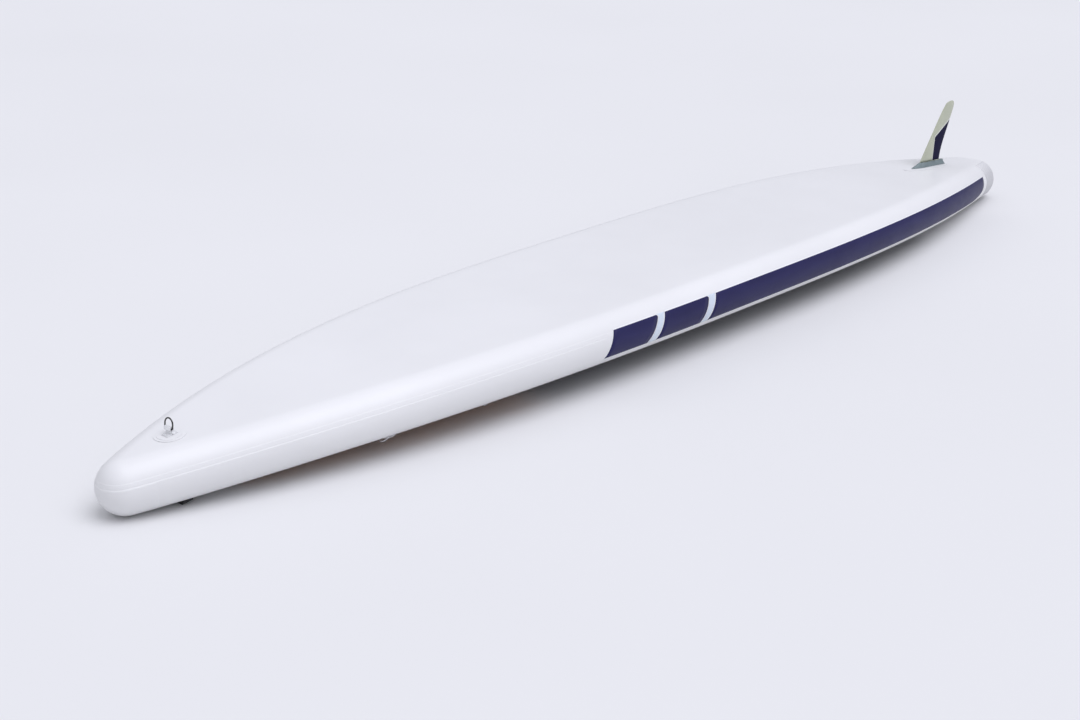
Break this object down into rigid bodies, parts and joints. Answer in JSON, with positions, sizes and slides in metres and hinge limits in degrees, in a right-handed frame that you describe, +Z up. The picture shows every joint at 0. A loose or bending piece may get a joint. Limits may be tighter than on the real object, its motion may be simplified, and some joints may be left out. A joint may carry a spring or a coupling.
{
  "type": "stand up paddleboard",
  "caption": "Inflatable touring stand up paddleboard with full round rails, printed side bands, tow ring, fin in a slide-in box, valve, handles, cargo rings and ribbed standing pad.",
  "frame": {"origin": "under the middle of the board's length and width, on the floor it lies on", "axes": "+X towards the nose, +Z up, out of the hull: the board lies deck down"},
  "size_m": [4.267, 0.7402, 0.4193],
  "materials": {
    "hull_pvc": "semi-matte white PVC skin",
    "deck_pvc": "semi-matte white PVC skin",
    "rail_pvc": "printed navy, light blue and white PVC",
    "cap_pvc": "fine textured pale grey PVC",
    "cloth": "woven polyester, coated",
    "yarn": "polyester yarn",
    "patch_pvc": "white PVC",
    "webbing_white": "white polyester webbing",
    "webbing_black": "black polyester webbing",
    "patch_black": "black PVC",
    "steel": "polished stainless steel",
    "fin_box": "grey-green moulded plastic",
    "fin_foot": "grey moulded plastic",
    "fibreglass": "pale green-grey glass-fibre laminate with a navy print",
    "valve": "black moulded nylon",
    "valve_cap": "black moulded nylon",
    "rubber": "black rubber",
    "spring_steel": "stainless spring wire",
    "pad": "dark navy ribbed EVA foam",
    "grip": "black neoprene sleeve"
  },
  "bodies": {
    "board": {"cargo_ring_patches": "patch_pvc", "cargo_ring_tabs": "webbing_white", "carry_handle_grip": "grip", "carry_handle_patches": "patch_black", "carry_handle_strap": "webbing_black", "deck_skin": "deck_pvc", "drop_stitch_cloth_deck": "cloth", "drop_stitch_cloth_hull": "cloth", "drop_stitch_yarns": "yarn", "fin_box": "fin_box", "fin_box_patch": "patch_pvc", "hull_skin": "hull_pvc", "inner_side_wall_left": "cloth", "inner_side_wall_right": "cloth", "kick_pad": "pad", "leash_ring_patch": "patch_black", "leash_ring_tab": "webbing_black", "nose_cap": "hull_pvc", "nose_handle_patches": "patch_black", "nose_handle_strap": "webbing_black", "rail_band_left": "rail_pvc", "rail_band_right": "rail_pvc", "standing_pad": "pad", "tail_cap": "cap_pvc", "tail_handle_patches": "patch_black", "tail_handle_strap": "webbing_black", "tow_ring_patch": "patch_pvc", "tow_ring_tab": "webbing_white", "valve_body": "valve", "valve_nut": "valve", "valve_spring": "spring_steel"},
    "tow_ring": {"tow_ring": "steel"},
    "leash_ring": {"leash_ring": "steel"},
    "cargo_ring_front_left": {"cargo_ring_front_left": "steel"},
    "cargo_ring_front_right": {"cargo_ring_front_right": "steel"},
    "cargo_ring_rear_left": {"cargo_ring_rear_left": "steel"},
    "cargo_ring_rear_right": {"cargo_ring_rear_right": "steel"},
    "fin": {"fin_foot": "fin_foot", "fin_blade": "fibreglass", "fin_rivets": "steel", "fin_lock_pin": "steel"},
    "fin_lock_lever": {"fin_lock_lever": "fin_foot"},
    "valve_plunger": {"valve_plunger": "valve", "valve_seal": "rubber"},
    "valve_cap": {"valve_cap": "valve_cap", "valve_cap_seal": "rubber"}
  },
  "joints": [
    {"name": "tow_ring_swing", "type": "hinge", "parent": "board", "child": "tow_ring", "pos_m": [1.91673, 0, 0.18703], "axis": [0, 1, 0], "range_deg": [-88, 112]},
    {"name": "cargo_ring_front_left_swing", "type": "hinge", "parent": "board", "child": "cargo_ring_front_left", "pos_m": [1.3602, 0.2, 0.05231], "axis": [0, -1, 0], "range_deg": [-152, 4]},
    {"name": "cargo_ring_front_right_swing", "type": "hinge", "parent": "board", "child": "cargo_ring_front_right", "pos_m": [1.3602, -0.2, 0.05231], "axis": [0, -1, 0], "range_deg": [-152, 4]},
    {"name": "cargo_ring_rear_left_swing", "type": "hinge", "parent": "board", "child": "cargo_ring_rear_left", "pos_m": [1.00827, 0.24, 0.06394], "axis": [0, -1, 0], "range_deg": [-152, 4]},
    {"name": "cargo_ring_rear_right_swing", "type": "hinge", "parent": "board", "child": "cargo_ring_rear_right", "pos_m": [1.00827, -0.24, 0.06394], "axis": [0, -1, 0], "range_deg": [-152, 4]},
    {"name": "leash_ring_swing", "type": "hinge", "parent": "board", "child": "leash_ring", "pos_m": [-1.793, 0, 0.02036], "axis": [0, -1, 0], "range_deg": [-18, 138]},
    {"name": "fin_slide", "type": "slide", "parent": "board", "child": "fin", "axis": [-0.997, 0, -0.0777], "range_m": [0, 0.16]},
    {"name": "fin_lock_flip", "type": "hinge", "parent": "fin", "child": "fin_lock_lever", "pos_m": [-1.83065, 0, 0.18962], "axis": [0, 1, 0], "range_deg": [0, 80]},
    {"name": "valve_push", "type": "slide", "parent": "board", "child": "valve_plunger", "axis": [-0.074, 0, 0.9973], "range_m": [0, 0.006], "stiffness_N_per_m": 600, "springref_m": -0.003, "deforming": ["valve_spring"]},
    {"name": "valve_cap_turn", "type": "hinge", "parent": "board", "child": "valve_cap", "pos_m": [-1.68408, 0, 0.03106], "axis": [0.074, 0, -0.9973], "range_deg": [0, 90]}
  ]
}
